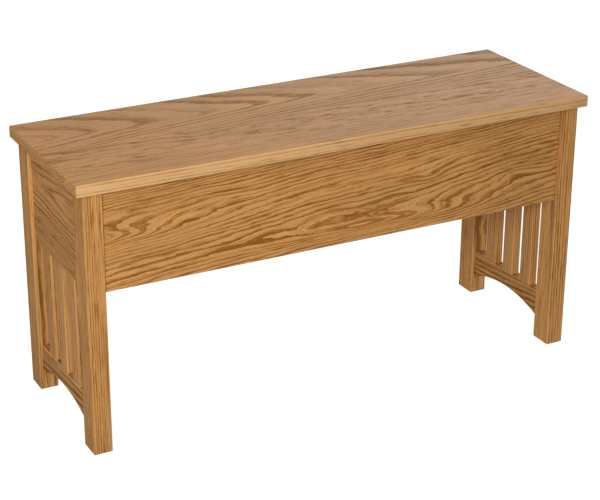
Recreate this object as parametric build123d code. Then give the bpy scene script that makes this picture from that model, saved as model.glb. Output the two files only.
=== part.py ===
from build123d import *
import math
import os

# A mission settle in oak, without a back: a long box on four square-cut legs, with a lift-up
# seat, three slats over an arched rail at each end, and a storage compartment in the box.
# Lengths are in millimetres. X runs along the settle, Y from its front to its back and Z up.
# The origin is on the floor, under the middle of the seat.

# Seat board, which is the lid of the compartment
seat_height = 458
lid_length = 911
lid_depth = 302
lid_thickness = 19
lid_corner_radius = 3
lid_top_ease = 2.5
lid_under_ease = 1
end_overhang = 12.5
front_overhang = 10
rear_overhang = 5

# Legs
leg_width = 31.5
leg_depth = 42
leg_ease = 1.6
foot_chamfer = 0.6
foot_limit_share = 0.8

# Aprons, which are the walls of the compartment
apron_height = 167
apron_thickness = 19
apron_ease = 1.5
front_reveal = 6
end_reveal = 6.25

# Bottom rail of each end, with its arched underside
rail_thickness = 19
rail_top_height = 82.5
arch_crown_height = 54
arch_spring_height = 33.5
rail_ease = 1.5

# Slats of each end
slats_per_end = 3
slat_width = 30
slat_thickness = 16
slat_gap = 24
slat_ease = 1.6

# Mortise and tenon joints
tenon_length = 18
tenon_thickness = 9.5
tenon_shoulder = 8
apron_tenon_drop = 19
stub_length = 8
stub_thickness = 7
stub_shoulder = 3
joint_clearance = 0.1
glue_room = 1

# Bottom of the compartment and the cleats that carry it
panel_thickness = 9
panel_clearance = 1
cleat_side = 19
cleat_rise = 3
cleat_end_gap = 3
long_cleat_screws = 4
end_cleat_screws = 2

# Butt hinges of the lid
hinge_inset = 175.5
hinge_length = 63
leaf_width = 16
leaf_thickness = 1.6
knuckles_per_hinge = 5
barrel_radius = 2.9
pin_radius = 1.5
pin_clearance = 0.05
pin_tip_length = 1.4
pin_tip_radius = 2.4
knuckle_gap = 0.3
barrel_clearance = 0.4
leaf_fit = 0.1
screws_per_leaf = 3
stop_angle = 10

# Countersunk wood screws
hinge_screw_length = 16
hinge_screw_radius = 1.6
hinge_screw_head_radius = 3.1
cleat_screw_length = 30
cleat_screw_radius = 2
cleat_screw_head_radius = 3.8
panel_screw_length = 20
panel_screw_radius = 1.7
panel_screw_head_radius = 3.4
head_sink = 0.15
screw_clearance = 0.05
drive_depth_share = 0.6
drive_width_share = 0.22
drive_reach_share = 0.6
point_length_share = 1.8

# How far a cutting tool runs past the face that it opens
overrun = 2

# Places that follow from these sizes
frame_top = seat_height - lid_thickness
apron_bottom = frame_top - apron_height
leg_outer_x = lid_length / 2 - end_overhang
leg_inner_x = leg_outer_x - leg_width
leg_front_y = front_overhang - lid_depth / 2
leg_rear_y = lid_depth / 2 - rear_overhang
span_front_y = leg_front_y + leg_depth
span_rear_y = leg_rear_y - leg_depth
span = span_rear_y - span_front_y
span_middle_y = (span_front_y + span_rear_y) / 2
end_plane_x = leg_outer_x - end_reveal - apron_thickness / 2
front_apron_y = leg_front_y + front_reveal + apron_thickness / 2
rear_apron_y = leg_rear_y - apron_thickness / 2
box_inner_x = end_plane_x - apron_thickness / 2
box_front_y = front_apron_y + apron_thickness / 2
box_rear_y = rear_apron_y - apron_thickness / 2
cleat_bottom = apron_bottom + cleat_rise
cleat_top = cleat_bottom + cleat_side
panel_top = cleat_top + panel_thickness

# The lid tips back until the eased lower edge of its rear overhang meets the backs of the rear
# legs, which sets how far behind them the hinge pin lies.
stop_sine = math.sin(math.radians(stop_angle))
stop_cosine = math.cos(math.radians(stop_angle))
free_overhang = rear_overhang - lid_under_ease
pin_setback = (free_overhang * stop_sine + lid_under_ease * (1 - stop_cosine)) / (1 + stop_sine)
pin_y = leg_rear_y + pin_setback
leaf_front_y = pin_y - leaf_width
plate_end_y = pin_y - barrel_radius - barrel_clearance
leaf_screw_y = (leaf_front_y + plate_end_y) / 2

sides = {"left": -1, "right": 1}


def block(x_span, y_span, z_span):
    """A box between two values on each axis."""
    size = [high - low for low, high in (x_span, y_span, z_span)]
    middle = [(low + high) / 2 for low, high in (x_span, y_span, z_span)]
    return Pos(*middle) * Box(*size)


def around(middle, size):
    """The two ends of a stretch of the given size about its middle."""
    return (middle - size / 2, middle + size / 2)


def mirrored(side, x_span):
    """An X stretch of the right-hand end, or its mirror image at the left-hand end."""
    return tuple(sorted(side * x for x in x_span))


def screw_form(length, radius, head_radius):
    """The outline of a countersunk screw, with its flat head up at the origin and its point down."""
    outline = Polyline(
        (0, 0),
        (head_radius, 0),
        (radius, radius - head_radius),
        (radius, radius * point_length_share - length),
        (0, -length),
        close=True,
    )
    return revolve(make_face(Plane.XZ * outline), Axis.Z)


def wood_screw(length, radius, head_radius):
    """A countersunk wood screw with a cross recess in its head."""
    depth = (head_radius - radius) * drive_depth_share
    width = head_radius * drive_width_share
    reach = 2 * head_radius * drive_reach_share
    arm = Box(reach, width, 2 * depth)
    return screw_form(length, radius, head_radius) - arm - Rot(0, 0, 90) * arm


def place_screws(places, length, radius, head_radius):
    """One screw at each place, as separate solids of a group."""
    return [place * wood_screw(length, radius, head_radius) for place in places]


def cut_screws(piece, places, length, radius, head_radius):
    """A piece with a hole for the screw at each place."""
    wide_head = head_radius + screw_clearance
    hole = screw_form(length + screw_clearance, radius + screw_clearance, wide_head)
    hole += Pos(0, 0, overrun / 2) * Cylinder(wide_head, overrun)
    for place in places:
        piece -= place * hole
    return piece


def tenon_heights(low, high):
    """The height of a tenon between its lower shoulder and its drop below the top."""
    return (low + tenon_shoulder, high)


apron_tenon_z = tenon_heights(apron_bottom, frame_top - apron_tenon_drop)
rail_tenon_z = tenon_heights(arch_spring_height, rail_top_height - tenon_shoulder)


def leg_mortises(side, front):
    """The three pockets of one leg: for the long apron, the end apron and the bottom rail."""
    fit = tenon_thickness + 2 * joint_clearance
    deep = tenon_length + glue_room
    long_y = front_apron_y if front else rear_apron_y
    long_x = mirrored(side, (leg_inner_x - overrun, leg_inner_x + deep))
    if front:
        end_y = (span_front_y - deep, span_front_y + overrun)
    else:
        end_y = (span_rear_y - overrun, span_rear_y + deep)
    end_x = mirrored(side, around(end_plane_x, fit))
    apron_z = (apron_tenon_z[0] - joint_clearance, apron_tenon_z[1] + joint_clearance)
    rail_z = (rail_tenon_z[0] - joint_clearance, rail_tenon_z[1] + joint_clearance)
    return [
        block(long_x, around(long_y, fit), apron_z),
        block(end_x, end_y, apron_z),
        block(end_x, end_y, rail_z),
    ]


def leg(side, front):
    """A leg with eased arrises, a chamfered foot and its mortises."""
    x_span = mirrored(side, (leg_inner_x, leg_outer_x))
    y_span = (leg_front_y, span_front_y) if front else (span_rear_y, leg_rear_y)
    post = block(x_span, y_span, (0, frame_top))
    post = fillet(post.edges().filter_by(Axis.Z), leg_ease)
    foot = min(foot_chamfer, leg_ease * foot_limit_share)
    post = chamfer(post.edges().group_by(Axis.Z)[0], foot)
    for pocket in leg_mortises(side, front):
        post -= pocket
    return post


def long_apron(middle_y):
    """The front or the rear apron, with a tenon at each end."""
    board = block((-leg_inner_x, leg_inner_x), around(middle_y, apron_thickness),
                  (apron_bottom, frame_top))
    board = fillet(board.edges().filter_by(Axis.X).group_by(Axis.Z)[0], apron_ease)
    reach = leg_inner_x + tenon_length
    return board + block((-reach, reach), around(middle_y, tenon_thickness), apron_tenon_z)


def slat_middles():
    """The Y places of the slats, spread about the middle of the gap between the legs."""
    pitch = slat_width + slat_gap
    return [span_middle_y + (i - (slats_per_end - 1) / 2) * pitch for i in range(slats_per_end)]


def slat_pockets(side, z_span):
    """The small mortises for the slats' stub tenons."""
    thick = stub_thickness + 2 * joint_clearance
    wide = slat_width - 2 * stub_shoulder + 2 * joint_clearance
    x_span = around(side * end_plane_x, thick)
    return [block(x_span, around(y, wide), z_span) for y in slat_middles()]


def end_apron(side):
    """An end apron, with a tenon at each end and pockets for the slats in its lower edge."""
    x_span = around(side * end_plane_x, apron_thickness)
    board = block(x_span, (span_front_y, span_rear_y), (apron_bottom, frame_top))
    board = fillet(board.edges().filter_by(Axis.Y).group_by(Axis.Z)[0], apron_ease)
    board += block(around(side * end_plane_x, tenon_thickness),
                   (span_front_y - tenon_length, span_rear_y + tenon_length), apron_tenon_z)
    pocket_top = apron_bottom + stub_length + glue_room
    for pocket in slat_pockets(side, (apron_bottom - overrun, pocket_top)):
        board -= pocket
    return board


def bottom_rail(side):
    """A bottom rail with an arched underside, a tenon at each end and pockets for the slats."""
    outline = Polyline(
        (span_front_y, arch_spring_height),
        (span_front_y, rail_top_height),
        (span_rear_y, rail_top_height),
        (span_rear_y, arch_spring_height),
    )
    arch = ThreePointArc(
        (span_rear_y, arch_spring_height),
        (span_middle_y, arch_crown_height),
        (span_front_y, arch_spring_height),
    )
    face = make_face(Plane.YZ * (outline + arch))
    board = Pos(side * end_plane_x, 0, 0) * extrude(face, rail_thickness / 2, both=True)
    long_edges = board.edges().filter_by(GeomType.CIRCLE) + board.edges().filter_by(Axis.Y)
    board = fillet(long_edges, rail_ease)
    tenon_x = around(side * end_plane_x, tenon_thickness)
    board += block(tenon_x, (span_front_y - tenon_length, span_front_y), rail_tenon_z)
    board += block(tenon_x, (span_rear_y, span_rear_y + tenon_length), rail_tenon_z)
    pocket_bottom = rail_top_height - stub_length - glue_room
    for pocket in slat_pockets(side, (pocket_bottom, rail_top_height + overrun)):
        board -= pocket
    return board


def slat(side, middle_y):
    """A slat with a stub tenon at its foot and at its head."""
    strip = block(around(side * end_plane_x, slat_thickness), around(middle_y, slat_width),
                  (rail_top_height, apron_bottom))
    strip = fillet(strip.edges().filter_by(Axis.Z), slat_ease)
    stub_z = (rail_top_height - stub_length, apron_bottom + stub_length)
    return strip + block(around(side * end_plane_x, stub_thickness),
                         around(middle_y, slat_width - 2 * stub_shoulder), stub_z)


# Cleats: two long ones inside the front and rear aprons, and two short ones between them
long_cleat_x = leg_inner_x - cleat_end_gap
end_cleat_front = max(span_front_y, box_front_y + cleat_side) + cleat_end_gap
end_cleat_rear = min(span_rear_y, box_rear_y - cleat_side) - cleat_end_gap
cleats = {
    "cleat_front": ((-long_cleat_x, long_cleat_x), (box_front_y, box_front_y + cleat_side)),
    "cleat_rear": ((-long_cleat_x, long_cleat_x), (box_rear_y - cleat_side, box_rear_y)),
    "cleat_left": ((-box_inner_x, cleat_side - box_inner_x), (end_cleat_front, end_cleat_rear)),
    "cleat_right": ((box_inner_x - cleat_side, box_inner_x), (end_cleat_front, end_cleat_rear)),
}


def along(span_ends, count, share):
    """Evenly spaced places along a stretch, the first at the given share of a space."""
    low, high = span_ends
    return [low + (high - low) * (i + share) / count for i in range(count)]


middle_share = 1 / 2
cleat_screw_z = cleat_bottom + cleat_side / 2
cleat_screw_places = {}
panel_screw_places = {}
panel_screw_z = panel_top - head_sink
for name, (x_span, y_span) in cleats.items():
    if name in ("cleat_front", "cleat_rear"):
        toward = 1 if name == "cleat_front" else -1
        head_y = y_span[1] - head_sink if name == "cleat_front" else y_span[0] + head_sink
        turn = Rot(-toward * 90, 0, 0)
        cleat_screw_places[name] = [
            Pos(x, head_y, cleat_screw_z) * turn
            for x in along(x_span, long_cleat_screws, middle_share)
        ]
        panel_screw_places[name] = [
            Pos(x, sum(y_span) / 2, panel_screw_z)
            for x in along(x_span, long_cleat_screws, 1)[:-1]
        ]
    else:
        toward = 1 if name == "cleat_left" else -1
        head_x = x_span[1] - head_sink if name == "cleat_left" else x_span[0] + head_sink
        turn = Rot(0, toward * 90, 0)
        cleat_screw_places[name] = [
            Pos(head_x, y, cleat_screw_z) * turn
            for y in along(y_span, end_cleat_screws, middle_share)
        ]
        panel_screw_places[name] = [Pos(sum(x_span) / 2, sum(y_span) / 2, panel_screw_z)]

cleat_screw = (cleat_screw_length, cleat_screw_radius, cleat_screw_head_radius)
panel_screw = (panel_screw_length, panel_screw_radius, panel_screw_head_radius)
hinge_screw = (hinge_screw_length, hinge_screw_radius, hinge_screw_head_radius)


def cleat(name):
    """A cleat with the holes of the screws that fix it and of those that fix the panel."""
    x_span, y_span = cleats[name]
    strip = block(x_span, y_span, (cleat_bottom, cleat_top))
    strip = cut_screws(strip, cleat_screw_places[name], *cleat_screw)
    return cut_screws(strip, panel_screw_places[name], *panel_screw)


def bottom_panel():
    """The compartment's bottom, notched round the legs and screwed down to the cleats."""
    panel = block((panel_clearance - box_inner_x, box_inner_x - panel_clearance),
                  (box_front_y + panel_clearance, box_rear_y - panel_clearance),
                  (cleat_top, panel_top))
    corner_x = leg_inner_x - panel_clearance
    heights = (cleat_top - overrun, panel_top + overrun)
    for side in sides.values():
        x_span = mirrored(side, (corner_x, box_inner_x + overrun))
        panel -= block(x_span, (box_front_y - overrun, span_front_y + panel_clearance), heights)
        panel -= block(x_span, (span_rear_y - panel_clearance, box_rear_y + overrun), heights)
    for places in panel_screw_places.values():
        panel = cut_screws(panel, places, *panel_screw)
    return panel


# Hinges. In each, the first knuckle and every second one after it belong to the frame's leaf.
knuckle_length = (hinge_length - (knuckles_per_hinge - 1) * knuckle_gap) / knuckles_per_hinge
knuckle_pitch = knuckle_length + knuckle_gap
hinge_middles = {name: side * (lid_length / 2 - hinge_inset) for name, side in sides.items()}


def knuckle_span(middle_x, index):
    """The X stretch of one knuckle."""
    start = middle_x - hinge_length / 2 + index * knuckle_pitch
    return (start, start + knuckle_length)


def rod(x_span, radius):
    """A round bar on the hinge's axis."""
    middle, length = sum(x_span) / 2, x_span[1] - x_span[0]
    return Pos(middle, pin_y, frame_top) * Rot(0, 90, 0) * Cylinder(radius, length)


def leaf_screw_places(middle_x, upward):
    """Where the screws of one leaf stand, head down under the lid or head up on the apron."""
    ends = around(middle_x, hinge_length)
    xs = along(ends, screws_per_leaf, middle_share)
    if upward:
        return [Pos(x, leaf_screw_y, frame_top + head_sink) * Rot(180, 0, 0) for x in xs]
    return [Pos(x, leaf_screw_y, frame_top - head_sink) for x in xs]


def hinge_leaf(middle_x, upward):
    """One leaf with its knuckles, its pin bore and its countersunk holes."""
    z_span = (frame_top, frame_top + leaf_thickness) if upward else (frame_top - leaf_thickness, frame_top)
    leaf = block(around(middle_x, hinge_length), (leaf_front_y, plate_end_y), z_span)
    for index in range(knuckles_per_hinge):
        if (index % 2 == 1) == upward:
            x_span = knuckle_span(middle_x, index)
            leaf += block(x_span, (leaf_front_y, pin_y), z_span) + rod(x_span, barrel_radius)
    leaf -= rod(around(middle_x, hinge_length + overrun), pin_radius + pin_clearance)
    return cut_screws(leaf, leaf_screw_places(middle_x, upward), *hinge_screw)


def hinge_pin(middle_x):
    """A pin with a button tip at each end of the barrel."""
    pin = rod(around(middle_x, hinge_length), pin_radius)
    for side in sides.values():
        end_x = middle_x + side * hinge_length / 2
        tip = rod(sorted((end_x, end_x + side * pin_tip_length)), pin_tip_radius)
        outer = tip.edges().filter_by(GeomType.CIRCLE).sort_by(Axis.X)[-1 if side > 0 else 0]
        pin += chamfer(outer, pin_tip_length / 2)
    return pin


def hinge_recess(middle_x, upward):
    """What is let into the lid or the rear apron: the leaf's bed and the barrel's clearance."""
    toward = 1 if upward else -1
    bed_z = sorted((frame_top - toward * overrun, frame_top + toward * leaf_thickness))
    bed_x = around(middle_x, hinge_length + 2 * leaf_fit)
    past_edge = lid_depth / 2 + overrun
    bed = block(bed_x, (leaf_front_y - leaf_fit, past_edge), bed_z)
    room = barrel_radius + barrel_clearance
    barrel_x = around(middle_x, hinge_length + 2 * pin_tip_length + 2 * barrel_clearance)
    barrel_z = sorted((frame_top - toward * overrun, frame_top + toward * room))
    return bed + block(barrel_x, (pin_y - room, past_edge), barrel_z)


def rear_apron():
    """The rear apron, flush with the backs of the legs, with its beds for the hinges."""
    board = long_apron(rear_apron_y)
    for middle_x in hinge_middles.values():
        board -= hinge_recess(middle_x, False)
        board = cut_screws(board, leaf_screw_places(middle_x, False), *hinge_screw)
    return cut_screws(board, cleat_screw_places["cleat_rear"], *cleat_screw)


def lid():
    """The seat board with rounded corners, eased edges and its beds for the hinges."""
    board = block(around(0, lid_length), around(0, lid_depth), (frame_top, seat_height))
    board = fillet(board.edges().filter_by(Axis.Z), lid_corner_radius)
    board = fillet(board.edges().group_by(Axis.Z)[-1], lid_top_ease)
    board = fillet(board.edges().group_by(Axis.Z)[0], lid_under_ease)
    for middle_x in hinge_middles.values():
        board -= hinge_recess(middle_x, True)
        board = cut_screws(board, leaf_screw_places(middle_x, True), *hinge_screw)
    return board


nodes = {"lid": lid(), "rear_apron": rear_apron(), "bottom_panel": bottom_panel()}
nodes["front_apron"] = cut_screws(long_apron(front_apron_y), cleat_screw_places["cleat_front"],
                                  *cleat_screw)

slat_names = ["front", "middle", "rear"]
for name, side in sides.items():
    nodes["leg_front_" + name] = leg(side, True)
    nodes["leg_rear_" + name] = leg(side, False)
    nodes["end_apron_" + name] = cut_screws(end_apron(side), cleat_screw_places["cleat_" + name],
                                            *cleat_screw)
    nodes["bottom_rail_" + name] = bottom_rail(side)
    for place, middle_y in enumerate(slat_middles()):
        label = slat_names[place] if slats_per_end == len(slat_names) else str(place + 1)
        nodes["slat_" + name + "_" + label] = slat(side, middle_y)
    nodes["hinge_frame_leaf_" + name] = hinge_leaf(hinge_middles[name], False)
    nodes["hinge_lid_leaf_" + name] = hinge_leaf(hinge_middles[name], True)
    nodes["hinge_pin_" + name] = hinge_pin(hinge_middles[name])

for name in cleats:
    nodes[name] = cleat(name)

frame_screws = [p for x in hinge_middles.values() for p in leaf_screw_places(x, False)]
lid_screws = [p for x in hinge_middles.values() for p in leaf_screw_places(x, True)]
all_cleat_screws = [p for places in cleat_screw_places.values() for p in places]
all_panel_screws = [p for places in panel_screw_places.values() for p in places]
nodes["hinge_frame_screws"] = Compound(children=place_screws(frame_screws, *hinge_screw))
nodes["hinge_lid_screws"] = Compound(children=place_screws(lid_screws, *hinge_screw))
nodes["cleat_screws"] = Compound(children=place_screws(all_cleat_screws, *cleat_screw))
nodes["panel_screws"] = Compound(children=place_screws(all_panel_screws, *panel_screw))

os.makedirs("parts", exist_ok=True)
for name, shape in nodes.items():
    export_step(shape, "parts/" + name + ".step")
    print(name, round(shape.volume))
print("hinge pin at y", round(pin_y, 3), "z", frame_top)
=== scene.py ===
"""Looks of a backless mission settle: oak boards with their own figure, brass hinges and a soft studio."""

import logging
import math
from dataclasses import dataclass, field, replace
from enum import Enum
from typing import Union

import bmesh
import bpy
from mathutils import Matrix, Vector


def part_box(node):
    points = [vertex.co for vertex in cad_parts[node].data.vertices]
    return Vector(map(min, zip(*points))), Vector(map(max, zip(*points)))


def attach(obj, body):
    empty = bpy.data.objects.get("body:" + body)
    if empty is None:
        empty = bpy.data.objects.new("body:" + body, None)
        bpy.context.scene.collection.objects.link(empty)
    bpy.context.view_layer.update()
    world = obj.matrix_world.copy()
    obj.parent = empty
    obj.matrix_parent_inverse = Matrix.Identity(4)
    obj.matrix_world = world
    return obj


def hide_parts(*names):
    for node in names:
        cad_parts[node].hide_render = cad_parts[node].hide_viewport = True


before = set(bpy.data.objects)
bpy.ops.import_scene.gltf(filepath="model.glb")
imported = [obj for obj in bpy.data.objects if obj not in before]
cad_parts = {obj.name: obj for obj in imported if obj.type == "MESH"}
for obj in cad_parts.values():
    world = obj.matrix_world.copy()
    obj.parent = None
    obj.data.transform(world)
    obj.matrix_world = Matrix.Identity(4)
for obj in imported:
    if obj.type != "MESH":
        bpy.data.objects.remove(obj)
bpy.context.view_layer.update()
log = logging.getLogger("settle")

MM = 0.001
SIDES = ("left", "right")
SHARP_ANGLE = math.radians(35)
WELD = 0.001 * MM
FACE_WEIGHT = 100
WHITE = (1.0, 1.0, 1.0, 1.0)
Colour = tuple[float, float, float]
Value = Union["Wire", float, int]
Corners = tuple[Vector, Vector]
Head = tuple[Vector, Vector]


class Axis(Enum):
    """A direction of the settle's own frame: along it, from front to back, and up."""

    X = 0
    Y = 1
    Z = 2


class Wire:
    """A node's output that sums, products and the like of it can be written with."""

    def __init__(self, graph: "Graph", socket: bpy.types.NodeSocket) -> None:
        """Wraps a socket.

        Args:
            graph: the graph that the socket is in.
            socket: the output socket.
        """
        self.graph = graph
        self.socket = socket

    def __add__(self, other: Value) -> "Wire":
        """The sum."""
        return self.graph.maths("ADD", self, other)

    def __sub__(self, other: Value) -> "Wire":
        """The difference."""
        return self.graph.maths("SUBTRACT", self, other)

    def __rsub__(self, other: Value) -> "Wire":
        """The difference, from a number."""
        return self.graph.maths("SUBTRACT", other, self)

    def __mul__(self, other: Value) -> "Wire":
        """The product."""
        return self.graph.maths("MULTIPLY", self, other)

    def __truediv__(self, other: Value) -> "Wire":
        """The quotient."""
        return self.graph.maths("DIVIDE", self, other)

    def __rtruediv__(self, other: Value) -> "Wire":
        """The quotient, of a number."""
        return self.graph.maths("DIVIDE", other, self)

    __radd__ = __add__
    __rmul__ = __mul__


class Graph:
    """The nodes of a material, of the surround or of a Geometry Nodes tree."""

    def __init__(self, owner: bpy.types.Material | bpy.types.World | bpy.types.NodeTree) -> None:
        """Starts with no nodes.

        Args:
            owner: the new material, surround or tree that the nodes are for.
        """
        self.owner = owner
        if isinstance(owner, bpy.types.NodeTree):
            self.tree = owner
        else:
            owner.use_nodes = True
            self.tree = owner.node_tree
        self.tree.nodes.clear()

    def node(self, kind: str, settings: dict | None = None, inputs: dict | None = None,
             stops: list[tuple[float, float]] | None = None) -> bpy.types.Node:
        """Adds any node.

        Args:
            kind: the node's type.
            settings: the node's own properties, which are set first.
            inputs: a value, a wire or a list of wires for each socket, by the socket's name or number.
            stops: the place and grey level of each stop, for a colour ramp.

        Returns:
            The new node.
        """
        made = self.tree.nodes.new(kind)
        for key, value in (settings or {}).items():
            setattr(made, key, value)
        if stops:
            ramp = made.color_ramp.elements
            while len(ramp) < len(stops):
                ramp.new(1.0)
            for element, (place, level) in zip(ramp, stops):
                element.position = place
                element.color = (level, level, level, 1.0)
        for key, value in (inputs or {}).items():
            if isinstance(value, (Wire, list)):
                for wire in value if isinstance(value, list) else [value]:
                    self.tree.links.new(wire.socket, made.inputs[key])
            elif value is not None:
                made.inputs[key].default_value = value
        return made

    def wire(self, made: bpy.types.Node, output: int | str = 0) -> Wire:
        """A node's output as a wire."""
        return Wire(self, made.outputs[output])

    def add(self, kind: str, settings: dict | None = None, **inputs: object) -> Wire:
        """Adds a node whose inputs' names are written with underscores, and gives its first output."""
        named = {key.replace("_", " "): value for key, value in inputs.items()}
        return self.wire(self.node(kind, settings, named))

    def maths(self, operation: str, *values: Value) -> Wire:
        """A Math node on one, two or three values."""
        return self.wire(self.node("ShaderNodeMath", {"operation": operation}, dict(enumerate(values))))

    def vector(self, x: Value, y: Value, z: Value) -> Wire:
        """A vector from three values."""
        return self.add("ShaderNodeCombineXYZ", X=x, Y=y, Z=z)

    def place(self, kind: str = "Object") -> Wire:
        """The place of each point, in one kind of coordinates."""
        return self.wire(self.node("ShaderNodeTexCoord"), kind)

    def parts(self, place: Wire, *axes: Axis) -> list[Wire]:
        """A vector's parts on some of the axes."""
        made = self.node("ShaderNodeSeparateXYZ", None, {0: place})
        return [self.wire(made, axis.value) for axis in axes]

    def noise(self, place: Wire, detail: float = 2.0, roughness: float = 0.5) -> Wire:
        """Smooth noise about zero, at one lump to each unit of the place.

        Args:
            place: where the noise is taken.
            detail: how many finer layers it has.
            roughness: how strong they are.

        Returns:
            The noise, which reaches about half a unit each way.
        """
        return self.add("ShaderNodeTexNoise", {"noise_dimensions": "3D"}, Vector=place, Scale=1.0,
                        Detail=detail, Roughness=roughness) - 0.5

    def step(self, value: Value, low: float, high: float) -> Wire:
        """A smooth step.

        Args:
            value: what it depends on.
            low: where it leaves 0.
            high: where it reaches 1.

        Returns:
            The step, from 0 to 1.
        """
        return self.add("ShaderNodeMapRange", {"interpolation_type": "SMOOTHSTEP"}, Value=value,
                        From_Min=low, From_Max=high)

    def blend(self, share: Value, first: "Wire | Colour", second: "Wire | Colour", kind: str = "MIX") -> Wire:
        """A mix of two colours.

        Args:
            share: how much of the second there is, from 0 to 1.
            first: the first colour.
            second: the second colour.
            kind: the way of mixing.

        Returns:
            The mixed colour.
        """
        inputs = {0: share, 6: self.colour(first), 7: self.colour(second)}
        made = self.node("ShaderNodeMix", {"data_type": "RGBA", "blend_type": kind}, inputs)
        return self.wire(made, 2)

    def toned(self, colour: "Wire | Colour", tone: Wire) -> Wire:
        """A colour made lighter or darker by a factor."""
        return self.blend(1.0, colour, self.vector(tone, tone, tone), "MULTIPLY")

    def relief(self, height: Wire, strength: float, depth: float) -> Wire:
        """The way a surface faces over a relief of a depth in millimetres."""
        return self.add("ShaderNodeBump", Strength=strength, Distance=depth * MM, Height=height)

    @staticmethod
    def colour(value: "Wire | Colour") -> "Wire | tuple[float, ...]":
        """A colour with its alpha, or the wire as it is."""
        return value if isinstance(value, Wire) else (*value, 1.0)

    def finish(self, **inputs: object) -> bpy.types.Material:
        """Ends the material in a Principled shader.

        Args:
            inputs: a value or a wire for each of the shader's sockets, with its name in small letters.

        Returns:
            The material.
        """
        named = {key.replace("_", " ").title().replace("Ior", "IOR"): value for key, value in inputs.items()}
        shader = self.wire(self.node("ShaderNodeBsdfPrincipled", None, named))
        self.node("ShaderNodeOutputMaterial", None, {"Surface": shader})
        return self.owner


@dataclass(frozen=True)
class Bulge:
    """A place where the rings bulge towards a board's face; all in millimetres from its middle."""

    along: float
    across: float
    length: float
    width: float
    push: float


@dataclass(frozen=True)
class Figure:
    """How the yearly rings cross a board, in millimetres.

    Ring by ring, the wood gets older by rise along the board, less by bow away from its middle;
    by spread on both sides of the centre line and tilt on one; by the crowns further out, below
    and above the line; and by depth through the thickness. Drift, swirl and fray are how far the
    rings wander, in long, middling and short waves. Wild is how blotchy the stain took, bold how
    dark the rings are, fine how dark the hairlines beside them are, speckle how broken up all of
    them are, and dusk how dark the wood between them is. Phase shifts the rings, as a share of one.
    """

    centre: float = 0.0
    rise: float = 0.01
    bow: float = 0.0
    spread: float = 0.0
    tilt: float = 0.0
    crown_below: float = 0.0
    crown_above: float = 0.0
    depth: float = 0.9
    ring: float = 4.5
    drift: float = 4.0
    swirl: float = 1.2
    fray: float = 0.8
    wild: float = 0.35
    bold: float = 0.6
    fine: float = 1.0
    speckle: float = 0.6
    dusk: float = 0.05
    phase: float = 0.0
    seed: float = 0.0
    tone: float = 1.0
    bulges: tuple[Bulge, ...] = ()


@dataclass(frozen=True)
class Lumps:
    """The lumps of one noise on a board: their length and width in millimetres, its shift and its detail."""

    length: float
    width: float
    shift: float
    detail: float = 2.0


@dataclass
class Grain:
    """The place on a board, in millimetres from its middle, and the figure of the wood there.

    U runs along the grain, v across the face and w through the thickness. Beyond has, for each
    glued joint, whether the place is past it.
    """

    graph: Graph
    figures: list[Figure]
    u: Wire
    v: Wire
    w: Wire
    beyond: list[Wire]
    drift: Lumps = Lumps(300.0, 150.0, 3.1)
    swirl: Lumps = Lumps(75.0, 18.0, 1.3, 3.0)
    fray: Lumps = Lumps(26.0, 2.6, 5.9, 3.0)
    full_swing: float = 2.0
    seed: Value = field(init=False)

    def __post_init__(self) -> None:
        """Finds the seed of the glued board at this place."""
        self.seed = self.pick("seed")

    def pick(self, part: str) -> Value:
        """One size of the figure of the glued board at this place.

        Args:
            part: the size's name.

        Returns:
            The size, as a wire where the glued boards differ in it.
        """
        values = [getattr(figure, part) for figure in self.figures]
        picked: Value = values[0]
        for mask, before, after in zip(self.beyond, values, values[1:]):
            if after != before:
                picked = self.graph.maths("MULTIPLY_ADD", mask, after - before, picked)
        return picked

    def waves(self, lumps: Lumps) -> Wire:
        """Noise in lumps that follow the grain's direction.

        Args:
            lumps: the lumps' sizes.

        Returns:
            The noise, about zero.
        """
        place = self.graph.vector(self.u / lumps.length + self.seed, self.v / lumps.width + lumps.shift,
                                  self.w / lumps.width + self.seed)
        return self.graph.noise(place, lumps.detail)

    def age(self, turn: float) -> Wire:
        """How much the log had grown when the wood at this place grew.

        Args:
            turn: how gently the rings turn at the centre line, in millimetres.

        Returns:
            The growth, in millimetres.
        """
        u, side, pick = self.u, self.v - self.pick("centre"), self.pick
        age = u * pick("rise") - u * u * pick("bow") + self.w * pick("depth")
        age = age + self.graph.maths("SQRT", side * side + turn * turn) * pick("spread")
        below = self.graph.maths("MINIMUM", side, 0.0)
        above = self.graph.maths("MAXIMUM", side, 0.0)
        age = age + side * pick("tilt")
        age = age + below * below * pick("crown_below") + above * above * pick("crown_above")
        for bulge in (bulge for figure in self.figures for bulge in figure.bulges):
            near = (u - bulge.along) / bulge.length
            aside = (self.v - bulge.across) / bulge.width
            fall = near * near + aside * aside + 1.0
            age = age + bulge.push / (fall * fall)
        for lumps, part in ((self.drift, "drift"), (self.swirl, "swirl"), (self.fray, "fray")):
            age = age + self.waves(lumps) * pick(part) * self.full_swing
        return age


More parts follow.
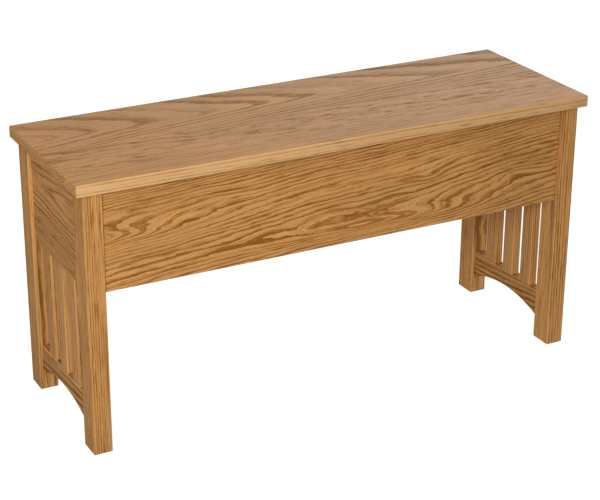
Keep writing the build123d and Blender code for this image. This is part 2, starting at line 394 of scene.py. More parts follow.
@dataclass(frozen=True)
class Oak:
    """Oak with a satin finish over a light golden stain, and a painted highlight along its edges.

    The colours are those of the pale wood, of the dark rings, of the open pores and of the painted
    highlight on edges and narrow faces. Lengths are in millimetres: turn is how gently the rings turn
    at a board's centre line, hair and hair_run the spacing and the length of the hairlines,
    edge_highlight_reach and edge_highlight_full how far from an edge the painted highlight starts and
    where it is full, rim_start and rim_end the same for the painted highlight on a narrow face.
    """

    light: Colour = (0.575, 0.290, 0.097)
    deep: Colour = (0.270, 0.100, 0.012)
    pore: Colour = (0.180, 0.062, 0.008)
    # The colour of the painted highlight on edges and narrow faces.
    pale: Colour = (0.68, 0.400, 0.165)
    roughness: float = 0.40
    gloss: float = 0.10
    turn: float = 6.0
    hair: float = 0.8
    hair_run: float = 130.0
    hair_detail: float = 3.0
    hair_roughness: float = 0.7
    # How far from an edge the painted edge highlight starts, and where it is full.
    edge_highlight_reach: float = 2.4
    edge_highlight_full: float = 0.2
    rim_start: float = 1.2
    rim_end: float = 0.3
    ring_group: float = 4.0
    ring_stretch: float = 1.6
    ring_evenness: float = 0.5
    ring_stops: tuple[tuple[float, float], ...] = (
        (0.0, 0.0), (0.07, 1.0), (0.30, 0.80), (0.60, 0.14), (1.0, 0.0))
    streaks: Lumps = Lumps(30.0, 1.4, 2.2, 3.0)
    blotches: Lumps = Lumps(48.0, 8.0, 7.7, 3.0)
    pores: Lumps = Lumps(7.0, 0.5, 9.4)
    patches: Lumps = Lumps(240.0, 60.0, 4.4)
    blotch_limits: tuple[float, float] = (0.05, 0.28)
    dark_limits: tuple[float, float] = (0.0, 0.90)
    pore_limits: tuple[float, float] = (0.06, 0.18)
    pores_in_dark: float = 0.22
    stain: float = 0.9
    pore_stain: float = 0.15
    pore_stain_in_dark: float = 0.5
    patchiness: float = 0.42
    # How strong the painted edge highlight is, its level, and how much the streaks break it up.
    edge_highlight_strength: float = 0.5
    edge_highlight_level: float = 0.75
    edge_highlight_in_streaks: float = 1.2
    pore_dullness: float = 0.12
    dark_dullness: float = 0.06
    pore_depth: float = 0.7
    dark_depth: float = 0.5
    relief_strength: float = 0.35
    relief_height: float = 0.12

    def lines(self, grain: Grain) -> tuple[Wire, Wire, Wire]:
        """The lines that the wood shows.

        Args:
            grain: the grain that they follow.

        Returns:
            How dark the rings and hairlines are and how open the pores are, both from 0 to 1, and
            the streaks, about zero.
        """
        graph, pick, seed = grain.graph, grain.pick, grain.seed
        age = grain.age(self.turn)
        rings = age / pick("ring") + pick("phase")
        stretch = graph.noise(graph.vector(rings / self.ring_group, seed, 0.0))
        rings = rings + stretch * self.ring_stretch
        weight = graph.add("ShaderNodeTexWhiteNoise", {"noise_dimensions": "1D"},
                           W=graph.maths("FLOOR", rings))
        band = graph.wire(graph.node("ShaderNodeValToRGB", None, {0: graph.maths("FRACT", rings)},
                                     list(self.ring_stops)))
        hair = graph.noise(graph.vector(age / self.hair, grain.u / self.hair_run + seed, seed),
                           self.hair_detail, self.hair_roughness)
        streak = grain.waves(self.streaks)
        band = band * (weight * (1.0 - self.ring_evenness) + self.ring_evenness) * pick("bold")
        band = band + graph.step(grain.waves(self.blotches), *self.blotch_limits) * pick("wild")
        shade = band + hair * pick("fine") + streak * pick("speckle") + pick("dusk")
        dark = graph.step(shade, *self.dark_limits)
        pores = graph.step(grain.waves(self.pores) + dark * self.pores_in_dark, *self.pore_limits)
        return dark, pores, streak

    def dress(self, name: str, figures: list[Figure], joints: list[float], along: Axis, across: Axis,
              box: Corners, rim: float = 0.0, pitch: float = 0.0) -> bpy.types.Material:
        """Makes the material of one board, of boards glued edge to edge, or of a row of slats.

        Args:
            name: the material's name.
            figures: the figure of each glued board.
            joints: where the boards meet, in millimetres across from the middle.
            along: the grain's direction.
            across: the direction across the face.
            box: the board's lowest and highest corners, in metres.
            rim: how strongly the narrow faces are painted paler as a highlight, from 0 to 1.
            pitch: the spacing of a row of slats, in millimetres, or zero for one board.

        Returns:
            The material.
        """
        graph = Graph(bpy.data.materials.new(name))
        low, high = box
        through = next(axis for axis in Axis if axis not in (along, across))
        half = [(top - bottom) / 2 / MM for bottom, top in zip(low, high)]
        centred = graph.add("ShaderNodeMapping", {"vector_type": "TEXTURE"}, Vector=graph.place(),
                            Location=tuple((low + high) / 2), Scale=(MM, MM, MM))
        u, v, w = graph.parts(centred, along, across, through)
        beyond = [graph.maths("GREATER_THAN", v, joint) for joint in joints]
        grain = Grain(graph, figures, u, v, w, beyond)
        dark, pores, streak = self.lines(grain)

        aside = graph.maths("WRAP", v, pitch / 2, -pitch / 2) if pitch else v
        reach = [graph.maths("ABSOLUTE", aside), graph.maths("ABSOLUTE", w)]
        limits = [half[across.value], half[through.value]]
        # Painted highlight along the edges: the colour is made paler near each arris, standing in for the
        # light that the eased edges catch.
        edge_highlight_masks = [graph.step(far, limit - self.edge_highlight_reach, limit - self.edge_highlight_full) for far, limit in zip(reach, limits)]
        edge_highlight = edge_highlight_masks[0] * edge_highlight_masks[1] * (streak * self.edge_highlight_in_streaks + self.edge_highlight_level)

        colour = graph.blend(dark * self.stain, self.light, self.deep)
        colour = graph.blend(pores * (dark * self.pore_stain_in_dark + self.pore_stain), colour, self.pore)
        tone = (grain.waves(self.patches) * self.patchiness + 1.0) * grain.pick("tone")
        colour = graph.toned(colour, tone)
        # Painted highlight on the narrow faces: they are made paler, standing in for the light that falls on
        # them.
        if rim:
            narrow = graph.step(reach[0], limits[0] - self.rim_start, limits[0] - self.rim_end)
            colour = graph.blend(narrow * (1.0 - dark * self.stain) * rim, colour, self.pale)
        # The painted edge highlight is mixed into the colour here.
        colour = graph.blend(edge_highlight * self.edge_highlight_strength, colour, self.pale)
        roughness = pores * self.pore_dullness + dark * self.dark_dullness + self.roughness
        relief = 1.0 - pores * self.pore_depth - dark * self.dark_depth
        normal = graph.relief(relief, self.relief_strength, self.relief_height)
        return graph.finish(base_color=colour, roughness=roughness, normal=normal,
                            specular_ior_level=self.gloss)


@dataclass(frozen=True)
class Metal:
    """A worked metal with a fine brushed grain and a few duller patches.

    Lines_across and lines_along are how many brushed lines there are to a metre across the grain
    and along it, patches how many dull patches.
    """

    colour: Colour
    roughness: float
    grain: Axis = Axis.X
    lines_across: float = 6000.0
    lines_along: float = 160.0
    patches: float = 220.0
    patch_detail: float = 3.0
    level: float = 0.95
    patch_tone: float = 0.35
    line_tone: float = 0.12
    patch_dullness: float = 0.25
    line_dullness: float = 0.15
    relief_strength: float = 0.2
    relief_height: float = 0.02

    def dress(self, name: str) -> bpy.types.Material:
        """Makes the metal's material.

        Args:
            name: the material's name.

        Returns:
            The material.
        """
        graph = Graph(bpy.data.materials.new(name))
        place = graph.place()
        brushing = tuple(self.lines_along if axis is self.grain else self.lines_across for axis in Axis)
        brushed = graph.add("ShaderNodeMapping", Scale=brushing, Vector=place)
        patchy = graph.add("ShaderNodeMapping", Scale=(self.patches,) * 3, Vector=place)
        lines = graph.noise(brushed)
        patches = graph.noise(patchy, self.patch_detail)
        colour = graph.toned(self.colour, patches * self.patch_tone + lines * self.line_tone + self.level)
        roughness = patches * self.patch_dullness + lines * self.line_dullness + self.roughness
        normal = graph.relief(lines, self.relief_strength, self.relief_height)
        return graph.finish(base_color=colour, roughness=roughness, metallic=1.0, normal=normal)


def placed(name: str, data: bpy.types.ID) -> bpy.types.Object:
    """A new object of the scene, with its name and data."""
    made = bpy.data.objects.new(name, data)
    bpy.context.scene.collection.objects.link(made)
    return made


def finished_copy(node: str) -> bpy.types.Object:
    """Copies a CAD node as a joined mesh with smooth eased edges and flat faces.

    Args:
        node: the CAD node's name.

    Returns:
        The new piece, with no material yet.
    """
    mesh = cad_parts[node].data.copy()
    mesh.name = node + "_finished"
    joined = bmesh.new()
    joined.from_mesh(mesh)
    bmesh.ops.remove_doubles(joined, verts=joined.verts, dist=WELD)
    joined.to_mesh(mesh)
    joined.free()
    mesh.materials.clear()
    mesh.shade_smooth()
    mesh.set_sharp_from_angle(angle=SHARP_ANGLE)
    piece = placed(node + "_finished", mesh)
    even = piece.modifiers.new("even_shading", "WEIGHTED_NORMAL")
    even.weight = FACE_WEIGHT
    even.keep_sharp = True
    return bake_down(piece)


def bake_down(piece: bpy.types.Object) -> bpy.types.Object:
    """Turns a piece with modifiers into a plain mesh, and takes the modifiers off.

    Args:
        piece: the piece.

    Returns:
        The same piece.
    """
    bpy.context.view_layer.update()
    graph = bpy.context.evaluated_depsgraph_get()
    plain = bpy.data.meshes.new_from_object(piece.evaluated_get(graph), depsgraph=graph)
    plain.name = piece.name
    piece.modifiers.clear()
    piece.data = plain
    return piece


def set_in_place(piece: bpy.types.Object, body: str, slot: str, *nodes: str) -> None:
    """Rides a piece on its body and lets it stand for its nodes.

    Args:
        piece: the finished piece.
        body: the CAD body that it moves with.
        slot: the material slot's name; not used.
        nodes: the CAD nodes that it stands for.
    """
    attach(piece, body)
    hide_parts(*nodes)
    log.info("%s rides on %s with %d faces", piece.name, body, len(piece.data.polygons))


@dataclass
class Board:
    """One board of the settle: its CAD node, the way its grain runs and its figure."""

    node: str
    along: Axis
    across: Axis
    figures: list[Figure]
    joints: list[float] = field(default_factory=list)
    body: str = "frame"
    slot: str = "oak"
    rim: float = 0.0

    def build(self, finish: Oak) -> None:
        """Makes the board's mesh and dresses it.

        Args:
            finish: the oak's finish.
        """
        piece = finished_copy(self.node)
        material = finish.dress(self.slot + "_" + self.node, self.figures, self.joints, self.along,
                                self.across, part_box(self.node), self.rim)
        piece.data.materials.append(material)
        set_in_place(piece, self.body, self.slot, self.node)


@dataclass
class Seat:
    """The seat board: three oak boards glued edge to edge, from the front to the rear.

    Joints are where the boards meet, in millimetres from the middle, and rim is how strongly
    the seat's narrow faces are painted paler as a highlight, from 0 to 1.
    """

    boards: list[Figure] = field(default_factory=lambda: [
        Figure(rise=0.004, tilt=0.55, ring=5.0, drift=3.0, swirl=0.8, bold=0.5, fine=1.2, dusk=0.10,
               seed=4.0, tone=0.95),
        Figure(rise=0.012, tilt=0.20, ring=3.6, drift=5.0, swirl=4.5, fray=1.2, wild=0.6, bold=0.6,
               fine=1.2, dusk=0.08, seed=11.0, tone=0.94),
        Figure(centre=61.0, rise=0.041, bow=0.0000235, spread=0.18, tilt=-0.10, crown_below=0.001,
               crown_above=0.0001, ring=4.4, drift=3.0, swirl=0.7, fray=1.0, bold=0.62, fine=1.2,
               dusk=0.08, phase=0.8, seed=27.0, tone=0.95),
    ])
    joints: list[float] = field(default_factory=lambda: [-100.0, -4.0])
    # The seat's front and rear narrow faces get a strong painted highlight.
    rim: float = 0.85
    finish: Oak = Oak(deep=(0.315, 0.135, 0.022), pore=(0.22, 0.088, 0.012), pale=(0.66, 0.40, 0.185),
                      roughness=0.37, gloss=0.12)

    def build(self) -> None:
        """Makes the seat board."""
        Board("lid", Axis.X, Axis.Y, self.boards, self.joints, "lid", rim=self.rim).build(self.finish)


WALL = Figure(spread=0.15, crown_below=0.004, crown_above=0.004, ring=3.8, bold=0.7, fine=1.5, dusk=0.15)


@dataclass
class Box:
    """The four aprons round the compartment."""

    front: Figure = Figure(
        centre=20.0, rise=-0.034, tilt=0.34, crown_above=0.003, ring=3.0, drift=4.0, swirl=2.4, fray=0.55,
        wild=0.3, bold=0.65, fine=2.2, speckle=0.4, dusk=0.13, seed=7.0, tone=1.03,
        bulges=(Bulge(-480.0, 2.0, 220.0, 21.0, 16.0), Bulge(50.0, -57.0, 250.0, 17.0, 13.0),
                Bulge(160.0, 6.0, 40.0, 14.0, 4.0), Bulge(330.0, -20.0, 50.0, 20.0, -5.0)))
    rear: Figure = replace(WALL, centre=15.0, rise=-0.028, seed=31.0)
    left: Figure = replace(WALL, centre=30.0, rise=0.03, seed=41.0)
    right: Figure = replace(WALL, centre=-24.0, rise=-0.04, seed=47.0)

    def build(self, finish: Oak) -> None:
        """Makes the four aprons.

        Args:
            finish: the oak's finish.
        """
        for node, along, figure in (
                ("front_apron", Axis.X, self.front), ("rear_apron", Axis.X, self.rear),
                ("end_apron_left", Axis.Y, self.left), ("end_apron_right", Axis.Y, self.right)):
            Board(node, along, Axis.Z, [figure]).build(finish)


@dataclass
class Legs:
    """The four legs, straight-grained along their length, each from another part of the log.

    Turns are the first leg's place round the log and the step to the next one, in degrees.
    """

    nodes: tuple[str, ...] = ("leg_front_left", "leg_front_right", "leg_rear_left", "leg_rear_right")
    # The right legs' tones are raised above the left ones: painted light standing in for the fill that
    # reaches the right end.
    tones_with_painted_fill: tuple[float, ...] = (1.01, 1.14, 1.01, 1.13)
    turns: tuple[float, float] = (35.0, 20.0)
    seeds: tuple[float, float] = (50.0, 7.0)
    figure: Figure = Figure(rise=0.004, ring=3.2, drift=2.0, swirl=0.6, fray=0.6, bold=0.6, fine=2.3,
                            dusk=0.14)

    def build(self, finish: Oak) -> None:
        """Makes the four legs.

        Args:
            finish: the oak's finish.
        """
        for count, (node, tone) in enumerate(zip(self.nodes, self.tones_with_painted_fill)):
            turn = math.radians(self.turns[0] + self.turns[1] * count)
            figure = replace(self.figure, tilt=math.cos(turn), depth=math.sin(turn), tone=tone,
                             seed=self.seeds[0] + self.seeds[1] * count)
            Board(node, Axis.Z, Axis.X, [figure]).build(finish)


def new_tree(name: str, inputs: dict[str, str]) -> tuple[Graph, dict[str, Wire]]:
    """Starts a Geometry Nodes tree with one geometry output.

    Args:
        name: the tree's name.
        inputs: the socket kind of each input, by the input's name.

    Returns:
        The tree's graph, and the wire of each input by its name.
    """
    tree = bpy.data.node_groups.new(name, "GeometryNodeTree")
    tree.is_modifier = True
    for label, kind in inputs.items():
        tree.interface.new_socket(label, in_out="INPUT", socket_type="NodeSocket" + kind)
    tree.interface.new_socket("Pieces", in_out="OUTPUT", socket_type="NodeSocketGeometry")
    graph = Graph(tree)
    given = graph.node("NodeGroupInput")
    return graph, {label: graph.wire(given, label) for label in inputs}


def end_tree(graph: Graph, copies: Wire, finish: Wire) -> bpy.types.NodeTree:
    """Ends a tree: makes the copies real, gives them their material and hands them out.

    Args:
        graph: the tree's graph.
        copies: the instances.
        finish: the material.

    Returns:
        The tree.
    """
    real = graph.add("GeometryNodeRealizeInstances", Geometry=copies)
    dressed = graph.add("GeometryNodeSetMaterial", Geometry=real, Material=finish)
    graph.node("NodeGroupOutput", None, {0: dressed})
    return graph.owner


def grown(name: str, tree: bpy.types.NodeTree, values: dict[str, object],
          start: bpy.types.Mesh | None = None) -> bpy.types.Object:
    """Runs a Geometry Nodes tree once and keeps what it makes as a plain mesh.

    Args:
        name: the new piece's name.
        tree: the tree.
        values: the value of each input, by its name.
        start: a mesh that the tree starts from, if it needs one.

    Returns:
        The piece, smooth but for its sharp edges, with no modifier left on it.
    """
    piece = placed(name, start or bpy.data.meshes.new(name))
    modifier = piece.modifiers.new("grow", "NODES")
    modifier.node_group = tree
    for item in tree.interface.items_tree:
        if item.in_out == "INPUT" and item.name in values:
            modifier[item.identifier] = values[item.name]
    bake_down(piece)
    piece.data.shade_smooth()
    piece.data.set_sharp_from_angle(angle=SHARP_ANGLE)
    return piece


@dataclass
class SlatTree:
    """The Geometry Nodes tree of a row of slats with eased edges and stub tenons."""

    ease_points: int = 5
    weld: float = 0.002 * MM

    def strip(self, graph: Graph, section: tuple[Wire, Wire], ends: tuple[Wire, Wire],
              ease: Wire | None) -> Wire:
        """A closed upright strip of a rounded or square section.

        Args:
            graph: the tree's graph.
            section: the strip's thickness and width.
            ends: the heights of its foot and head.
            ease: the radius of its long edges, or none.

        Returns:
            The strip.
        """
        curve = graph.add("GeometryNodeCurvePrimitiveQuadrilateral", Width=section[0], Height=section[1])
        if ease:
            curve = graph.add("GeometryNodeFilletCurve", {"mode": "POLY"}, Curve=curve, Radius=ease,
                              Count=self.ease_points)
        face = graph.add("GeometryNodeFillCurve", {"mode": "NGONS"}, Curve=curve)
        face = graph.add("GeometryNodeTransform", Geometry=face, Translation=graph.vector(0.0, 0.0, ends[0]))
        rise = graph.vector(0.0, 0.0, ends[1] - ends[0])
        raised = graph.add("GeometryNodeExtrudeMesh", Mesh=face, Offset=rise, Offset_Scale=1.0,
                           Individual=False)
        under = graph.add("GeometryNodeFlipFaces", Mesh=face)
        both = graph.add("GeometryNodeJoinGeometry", Geometry=[raised, under])
        return graph.add("GeometryNodeMergeByDistance", Geometry=both, Distance=self.weld)

    def tree(self) -> bpy.types.NodeTree:
        """Builds the tree.

        Returns:
            The tree, with an input for each size.
        """
        lengths = ("Thickness", "Width", "Ease", "Foot", "Head", "Pitch", "Stub Thickness", "Stub Width",
                   "Stub Length")
        graph, given = new_tree("slat_row", {name: "Float" for name in lengths} | {
            "Count": "Int", "First": "Vector", "Finish": "Material"})
        foot, head, stub = given["Foot"], given["Head"], given["Stub Length"]
        body = self.strip(graph, (given["Thickness"], given["Width"]), (foot, head), given["Ease"])
        stubs = (given["Stub Thickness"], given["Stub Width"])
        tenon = self.strip(graph, stubs, (foot - stub, head + stub), None)
        slat = graph.add("GeometryNodeMeshBoolean", {"operation": "UNION"}, Mesh_2=[body, tenon])
        row = graph.add("GeometryNodeMeshLine", Count=given["Count"], Start_Location=given["First"],
                        Offset=graph.vector(0.0, given["Pitch"], 0.0))
        copies = graph.add("GeometryNodeInstanceOnPoints", Points=row, Instance=slat)
        return end_tree(graph, copies, given["Finish"])


@dataclass
class End:
    """One end frame below its apron: the arched rail and the slats."""

    side: str
    seeds: tuple[float, float] = (80.0, 90.0)
    slat_seed: float = 3.0
    slats: tuple[str, ...] = ("front", "middle", "rear")
    ease: float = 1.6 * MM
    stub_thickness: float = 7.0 * MM
    stub_narrower: float = 6.0 * MM
    rail_figure: Figure = Figure(centre=30.0, tilt=0.45, spread=0.1, depth=0.5, rise=0.03, ring=3.8,
                                 drift=3.0, swirl=0.9, bold=0.85, fine=1.6, dusk=0.18, tone=0.92)
    slat_figure: Figure = Figure(tilt=0.6, depth=0.8, rise=0.005, ring=3.4, drift=3.0, swirl=0.8)

    def build(self, finish: Oak, tree: bpy.types.NodeTree) -> None:
        """Makes the rail and the row of slats.

        Args:
            finish: the oak's finish.
            tree: the slats' Geometry Nodes tree.
        """
        seed = self.seeds[SIDES.index(self.side)]
        rail = replace(self.rail_figure, seed=seed)
        Board("bottom_rail_" + self.side, Axis.Y, Axis.Z, [rail]).build(finish)
        nodes = ["slat_" + self.side + "_" + place for place in self.slats]
        boxes = [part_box(node) for node in nodes]
        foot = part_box("bottom_rail_" + self.side)[1].z
        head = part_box("end_apron_" + self.side)[0].z
        low, high = boxes[0]
        width = high.y - low.y
        pitch = boxes[1][0].y - low.y
        middle = boxes[len(boxes) // 2]
        figure = replace(self.slat_figure, seed=seed + self.slat_seed)
        material = finish.dress("oak_slats_" + self.side, [figure], [], Axis.Z, Axis.Y, middle,
                                pitch=pitch / MM)
        piece = grown("slats_" + self.side, tree, {
            "Thickness": high.x - low.x, "Width": width, "Ease": self.ease, "Foot": foot, "Head": head,
            "Pitch": pitch, "Stub Thickness": self.stub_thickness,
            "Stub Width": width - self.stub_narrower, "Stub Length": high.z - head, "Count": len(nodes),
            "First": ((low.x + high.x) / 2, (low.y + high.y) / 2, 0.0), "Finish": material})
        set_in_place(piece, "frame", "oak", *nodes)


@dataclass
class Compartment:
    """The bottom of the compartment and the cleats under it."""

    plain: Oak = Oak(light=(0.56, 0.35, 0.17), deep=(0.34, 0.18, 0.07), pore=(0.22, 0.11, 0.05),
                     pale=(0.62, 0.40, 0.20), roughness=0.55, gloss=0.3)
    veneer: Figure = Figure(rise=0.03, spread=0.05, crown_below=0.0006, crown_above=0.0006, ring=6.0,
                            drift=8.0, swirl=3.0, seed=120.0)
    strip: Figure = Figure(tilt=0.7, depth=0.6, rise=0.005, ring=3.6, drift=2.0)
    seeds: tuple[float, float] = (130.0, 5.0)

    def build(self) -> None:
        """Makes the panel and the four cleats."""
        Board("bottom_panel", Axis.X, Axis.Y, [self.veneer], slot="plywood").build(self.plain)
        for count, name in enumerate(("front", "rear", "left", "right")):
            along = Axis.Y if name in SIDES else Axis.X
            figure = replace(self.strip, seed=self.seeds[0] + self.seeds[1] * count)
            Board("cleat_" + name, along, Axis.Z, [figure], slot="cleat_wood").build(self.plain)


@dataclass
class ScrewTree:
    """The Geometry Nodes tree of countersunk wood screws with cross recesses, one at each point.

    Bare share is the part of the length without thread, and point share the point's length, groove
    the thread's depth and blunt the point's end as parts of the radius. The recess's depth is a
    part of the head's height, and its width and reach are parts of the head's radius.
    """

    sides: int = 20
    rings: int = 96
    point_share: float = 1.8
    bare_share: float = 0.4
    groove: float = 0.26
    blunt: float = 0.06
    recess_depth: float = 0.6
    recess_width: float = 0.22
    recess_reach: float = 1.2

    def tree(self) -> bpy.types.NodeTree:
        """Builds the tree.

        Returns:
            The tree, with an input for each size.
        """
        graph, given = new_tree("wood_screws", {
            "Places": "Geometry", "Length": "Float", "Radius": "Float", "Head Radius": "Float",
            "Thread Pitch": "Float", "Finish": "Material"})
        length, radius, head = given["Length"], given["Radius"], given["Head Radius"]
        rod = graph.add("GeometryNodeMeshCylinder", Vertices=self.sides, Side_Segments=self.rings, Radius=1.0,
                        Depth=length)
        x, y, z = graph.parts(graph.add("GeometryNodeInputPosition"), *Axis)
        down = z - length / 2
        turn = graph.maths("ARCTAN2", y, x) / math.tau
        crest = graph.maths("PINGPONG", down / given["Thread Pitch"] - turn, 0.5) * 2
        threaded = graph.maths("LESS_THAN", down, length * -self.bare_share)
        shank = radius * (1.0 - threaded * (1.0 - crest) * self.groove)
        point = graph.maths("MINIMUM", (down + length) / (radius * self.point_share), 1.0)
        shank = shank * graph.maths("MAXIMUM", point, self.blunt)
        wide = graph.maths("MAXIMUM", shank, head + down)
        shaped = graph.add("GeometryNodeSetPosition", Geometry=rod,
                           Position=graph.vector(x * wide, y * wide, down))
        deep = (head - radius) * (2 * self.recess_depth)
        arms = [graph.add("GeometryNodeMeshCube", Size=graph.vector(*size)) for size in (
            (head * self.recess_reach, head * self.recess_width, deep),
            (head * self.recess_width, head * self.recess_reach, deep))]
        cut = graph.add("GeometryNodeMeshBoolean", {"operation": "DIFFERENCE", "solver": "EXACT"},
                        Mesh_1=shaped, Mesh_2=arms)
        way = graph.add("GeometryNodeInputNamedAttribute", {"data_type": "FLOAT_VECTOR"}, Name="head_way")
        turned = graph.add("FunctionNodeAlignRotationToVector", {"axis": "Z"}, Vector=way)
        copies = graph.add("GeometryNodeInstanceOnPoints", Points=given["Places"], Instance=cut,
                           Rotation=turned)
        return end_tree(graph, copies, given["Finish"])


@dataclass(frozen=True)
class ScrewSize:
    """The sizes of one kind of screw, in millimetres."""

    length: float
    radius: float
    head: float
    pitch: float


@dataclass
class Screws:
    """One group of alike screws: its CAD node, its size, and where its heads stand and face."""

    node: str
    size: ScrewSize
    heads: list[Head]
    body: str = "frame"
    slot: str = "brass"

    def build(self, tree: bpy.types.NodeTree, material: bpy.types.Material) -> None:
        """Makes the screws.

        Args:
            tree: the screws' Geometry Nodes tree.
            material: their metal.
        """
        places = bpy.data.meshes.new(self.node + "_places")
        places.from_pydata([place for place, _ in self.heads], [], [])
        way = places.attributes.new("head_way", "FLOAT_VECTOR", "POINT")
        for item, (_, direction) in zip(way.data, self.heads):
            item.vector = direction
        size = self.size
        piece = grown(self.node + "_threaded", tree, {
            "Length": size.length * MM, "Radius": size.radius * MM, "Head Radius": size.head * MM,
            "Thread Pitch": size.pitch * MM, "Finish": material}, places)
        set_in_place(piece, self.body, self.slot, self.node)


def spaced(low: float, high: float, count: int, share: float) -> list[float]:
    """Evenly spaced places along a stretch, the first at a share of a space."""
    return [low + (high - low) * (number + share) / count for number in range(count)]


@dataclass
class Fixings:
    """The screws that hold the hinges, the cleats and the bottom panel."""

    sink: float = 0.15 * MM
    per_leaf: int = 3
    long_cleat: int = 4
    end_cleat: int = 2
    hinge_size: ScrewSize = ScrewSize(length=16.0, radius=1.6, head=3.1, pitch=1.1)
    cleat_size: ScrewSize = ScrewSize(length=30.0, radius=2.0, head=3.8, pitch=1.6)
    panel_size: ScrewSize = ScrewSize(length=20.0, radius=1.7, head=3.4, pitch=1.4)

    def hinge_heads(self, kind: str, node: str, upward: bool) -> list[Head]:
        """Where the heads of one kind of leaf's screws stand, and which way they face.

        Args:
            kind: the leaves' name, without the side.
            node: the screws' own node.
            upward: whether the heads face up.

        Returns:
            The place and direction of each head.
        """
        low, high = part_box(node)
        middle = (low.y + high.y) / 2
        height, way = (high.z, 1) if upward else (low.z, -1)
        heads = []
        for side in SIDES:
            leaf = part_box(kind + side)
            for x in spaced(leaf[0].x, leaf[1].x, self.per_leaf, 0.5):
                heads.append((Vector((x, middle, height)), Vector((0, 0, way))))
        return heads

    def cleat_heads(self) -> tuple[list[Head], list[Head]]:
        """Where the heads of the cleats' own screws and of the panel's screws stand.

        Returns:
            The place and direction of each head, for the cleats and for the panel.
        """
        sideways, downward = [], []
        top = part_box("panel_screws")[1].z
        for name, way in (("front", 1), ("rear", -1), ("left", 1), ("right", -1)):
            low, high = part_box("cleat_" + name)
            middle = (low + high) / 2
            run, inward, count = (1, 0, self.end_cleat) if name in SIDES else (0, 1, self.long_cleat)
            for place in spaced(low[run], high[run], count, 0.5):
                head = middle.copy()
                head[run] = place
                head[inward] = high[inward] - self.sink if way > 0 else low[inward] + self.sink
                direction = Vector((0, 0, 0))
                direction[inward] = way
                sideways.append((head, direction))
            for place in spaced(low[run], high[run], count, 1.0)[:-1]:
                head = middle.copy()
                head[run] = place
                head.z = top
                downward.append((head, Vector((0, 0, 1))))
        return sideways, downward

    def build(self, brass: bpy.types.Material, steel: bpy.types.Material) -> None:
        """Makes all the screws.

        Args:
            brass: the hinge screws' metal.
            steel: the other screws' metal.
        """
        tree = ScrewTree().tree()
        sideways, downward = self.cleat_heads()
        below = self.hinge_heads("hinge_frame_leaf_", "hinge_frame_screws", True)
        above = self.hinge_heads("hinge_lid_leaf_", "hinge_lid_screws", False)
        Screws("hinge_frame_screws", self.hinge_size, below).build(tree, brass)
        Screws("hinge_lid_screws", self.hinge_size, above, "lid").build(tree, brass)
        Screws("cleat_screws", self.cleat_size, sideways, slot="steel").build(tree, steel)
        Screws("panel_screws", self.panel_size, downward, slot="steel").build(tree, steel)


@dataclass
class Hinges:
    """The two butt hinges: each piece's name without its side, and the body that it moves with."""

    pieces: tuple[tuple[str, str], ...] = (
        ("hinge_frame_leaf_", "frame"), ("hinge_lid_leaf_", "lid"), ("hinge_pin_", "frame"))

    def build(self, brass: bpy.types.Material) -> None:
        """Makes the leaves and the pins.

        Args:
            brass: their metal.
        """
        for side in SIDES:
            for name, body in self.pieces:
                piece = finished_copy(name + side)
                piece.data.materials.append(brass)
                set_in_place(piece, body, "brass", name + side)


@dataclass(frozen=True)
class Lamp:
    """A soft disc of light: its name, its place and width in metres, and its power in watts."""

    name: str
    place: tuple[float, float, float]
    size: float
    power: float

    def build(self, aim: tuple[float, float, float]) -> None:
        """Makes the light.

        Args:
            aim: the point that it faces, in metres.
        """
        data = bpy.data.lights.new(self.name, "AREA")
        data.shape = "DISK"
        data.size = self.size
        data.energy = self.power
        light = placed(self.name, data)
        light.location = self.place
        light.rotation_euler = (Vector(aim) - Vector(self.place)).to_track_quat("-Z", "Y").to_euler()


@dataclass
class Floor:
    """The pale floor, which sweeps up into a wall all round, far behind the settle.

    The profile has, for each ring of the floor, its distance and height as parts of the reach.
    """

    reach: float = 14.0
    sides: int = 96
    profile: tuple[tuple[float, float], ...] = ((0.7, 0.0), (0.9, 0.06), (1.0, 0.25), (1.0, 1.0))
    colour: Colour = (0.2, 0.2, 0.2)
    roughness: float = 0.9
    brightness: float = 0.96

    def build(self) -> None:
        """Makes the floor."""
        shape = bmesh.new()
        rim: list[bmesh.types.BMVert] = []
        turns = [2 * math.pi * count / self.sides for count in range(self.sides)]
        for out, up in ((self.reach * out, self.reach * up) for out, up in self.profile):
            last = rim
            rim = [shape.verts.new((out * math.cos(turn), out * math.sin(turn), up)) for turn in turns]
            for count in range(self.sides if last else 0):
                after = (count + 1) % self.sides
                shape.faces.new((last[count], rim[count], rim[after], last[after]))
            if not last:
                shape.faces.new(rim)
        mesh = bpy.data.meshes.new("floor")
        bmesh.ops.recalc_face_normals(shape, faces=shape.faces)
        shape.to_mesh(mesh)
        shape.free()
        floor = placed("floor", mesh)
        graph = Graph(bpy.data.materials.new("pale_floor"))
        mesh.materials.append(graph.finish(
            base_color=(*self.colour, 1.0), roughness=self.roughness, emission_strength=self.brightness,
            emission_color=WHITE))
        floor.visible_diffuse = False
        floor.visible_glossy = False


@dataclass
class Surround:
    """The soft surround: brighter above, to the rear right, and low down to the left.

    Each pair is where a part of the light starts and is full, by how far a look turns that way.
    """

    sky_limits: tuple[float, float] = (-0.15, 0.25)
    glow_right: tuple[float, float] = (0.20, 0.62)
    glow_rear: tuple[float, float] = (0.0, 0.5)
    left_limits: tuple[float, float] = (0.0, 0.7)
    rear_share: float = 0.5
    glow: float = 1.6
    sky: float = 0.34
    low_left: float = 0.10
    base: float = 0.16

    def build(self) -> None:
        """Makes the surround."""
        world = bpy.data.worlds.new("surround")
        bpy.context.scene.world = world
        graph = Graph(world)
        right, rear, up = graph.parts(graph.place("Generated"), *Axis)
        above = graph.step(up, *self.sky_limits)
        glow = graph.step(right, *self.glow_right) * graph.step(rear, *self.glow_rear) * self.glow
        left = graph.step(rear * self.rear_share - right, *self.left_limits)
        strength = above * (glow + self.sky) + left * (1.0 - above) * self.low_left + self.base
        light = graph.add("ShaderNodeBackground", Color=WHITE, Strength=strength)
        graph.node("ShaderNodeOutputWorld", None, {"Surface": light})


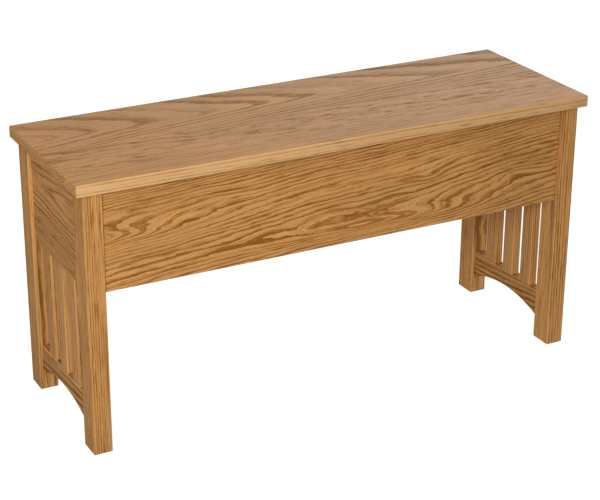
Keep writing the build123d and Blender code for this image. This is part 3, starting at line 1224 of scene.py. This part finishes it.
@dataclass
class Studio:
    """The camera, a pale floor and soft lights."""

    camera_place: tuple[float, float, float] = (-1.24322, -2.34049, 1.36345)
    heading: float = 25.658
    dip: float = 23.028
    roll: float = -0.544
    focal_pixels: float = 1709.7
    axis_pixel: tuple[float, float] = (240.0, 234.8)
    picture: tuple[float, float] = (600.0, 500.0)
    sensor: float = 36.0
    sight: float = 100.0
    aim: tuple[float, float, float] = (0.0, 0.0, 0.30)
    lamps: tuple[Lamp, ...] = (
        Lamp("key_light", place=(-1.2, -1.75, 1.05), size=1.0, power=37.0),
        Lamp("left_light", place=(-2.1, -0.1, 0.75), size=1.2, power=2.0))

    def build(self) -> None:
        """Makes the camera, the floor and the lights."""
        self.make_camera()
        Floor().build()
        Surround().build()
        for lamp in self.lamps:
            lamp.build(self.aim)
        view = bpy.context.scene.view_settings
        view.view_transform = "Standard"
        view.look = "None"

    def make_camera(self) -> None:
        """Places the camera where the photograph was taken from."""
        data = bpy.data.cameras.new("camera")
        width, height = self.picture
        data.sensor_fit = "HORIZONTAL"
        data.sensor_width = self.sensor
        data.lens = self.focal_pixels / width * self.sensor
        data.shift_x = (width / 2 - self.axis_pixel[0]) / width
        data.shift_y = (self.axis_pixel[1] - height / 2) / width
        data.clip_end = self.sight
        camera = placed("camera", data)
        turn = (Matrix.Rotation(math.radians(-self.heading), 4, "Z")
                @ Matrix.Rotation(math.radians(90 - self.dip), 4, "X")
                @ Matrix.Rotation(math.radians(self.roll), 4, "Z"))
        camera.matrix_world = Matrix.Translation(self.camera_place) @ turn
        bpy.context.scene.camera = camera


def main() -> None:
    """Builds the settle's looks, part by part."""
    logging.basicConfig(level=logging.INFO, format="%(name)s: %(message)s")
    finish = Oak()
    brass = Metal(colour=(0.62, 0.44, 0.19), roughness=0.34).dress("satin_brass")
    steel = Metal(colour=(0.58, 0.58, 0.56), roughness=0.38, grain=Axis.Z).dress("zinc_plated_steel")
    Studio().build()
    Seat().build()
    Box().build(finish)
    Legs().build(finish)
    slats = SlatTree().tree()
    for side in SIDES:
        End(side).build(finish, slats)
    Compartment().build()
    Hinges().build(brass)
    Fixings().build(brass, steel)


if __name__ == "__main__":
    main()
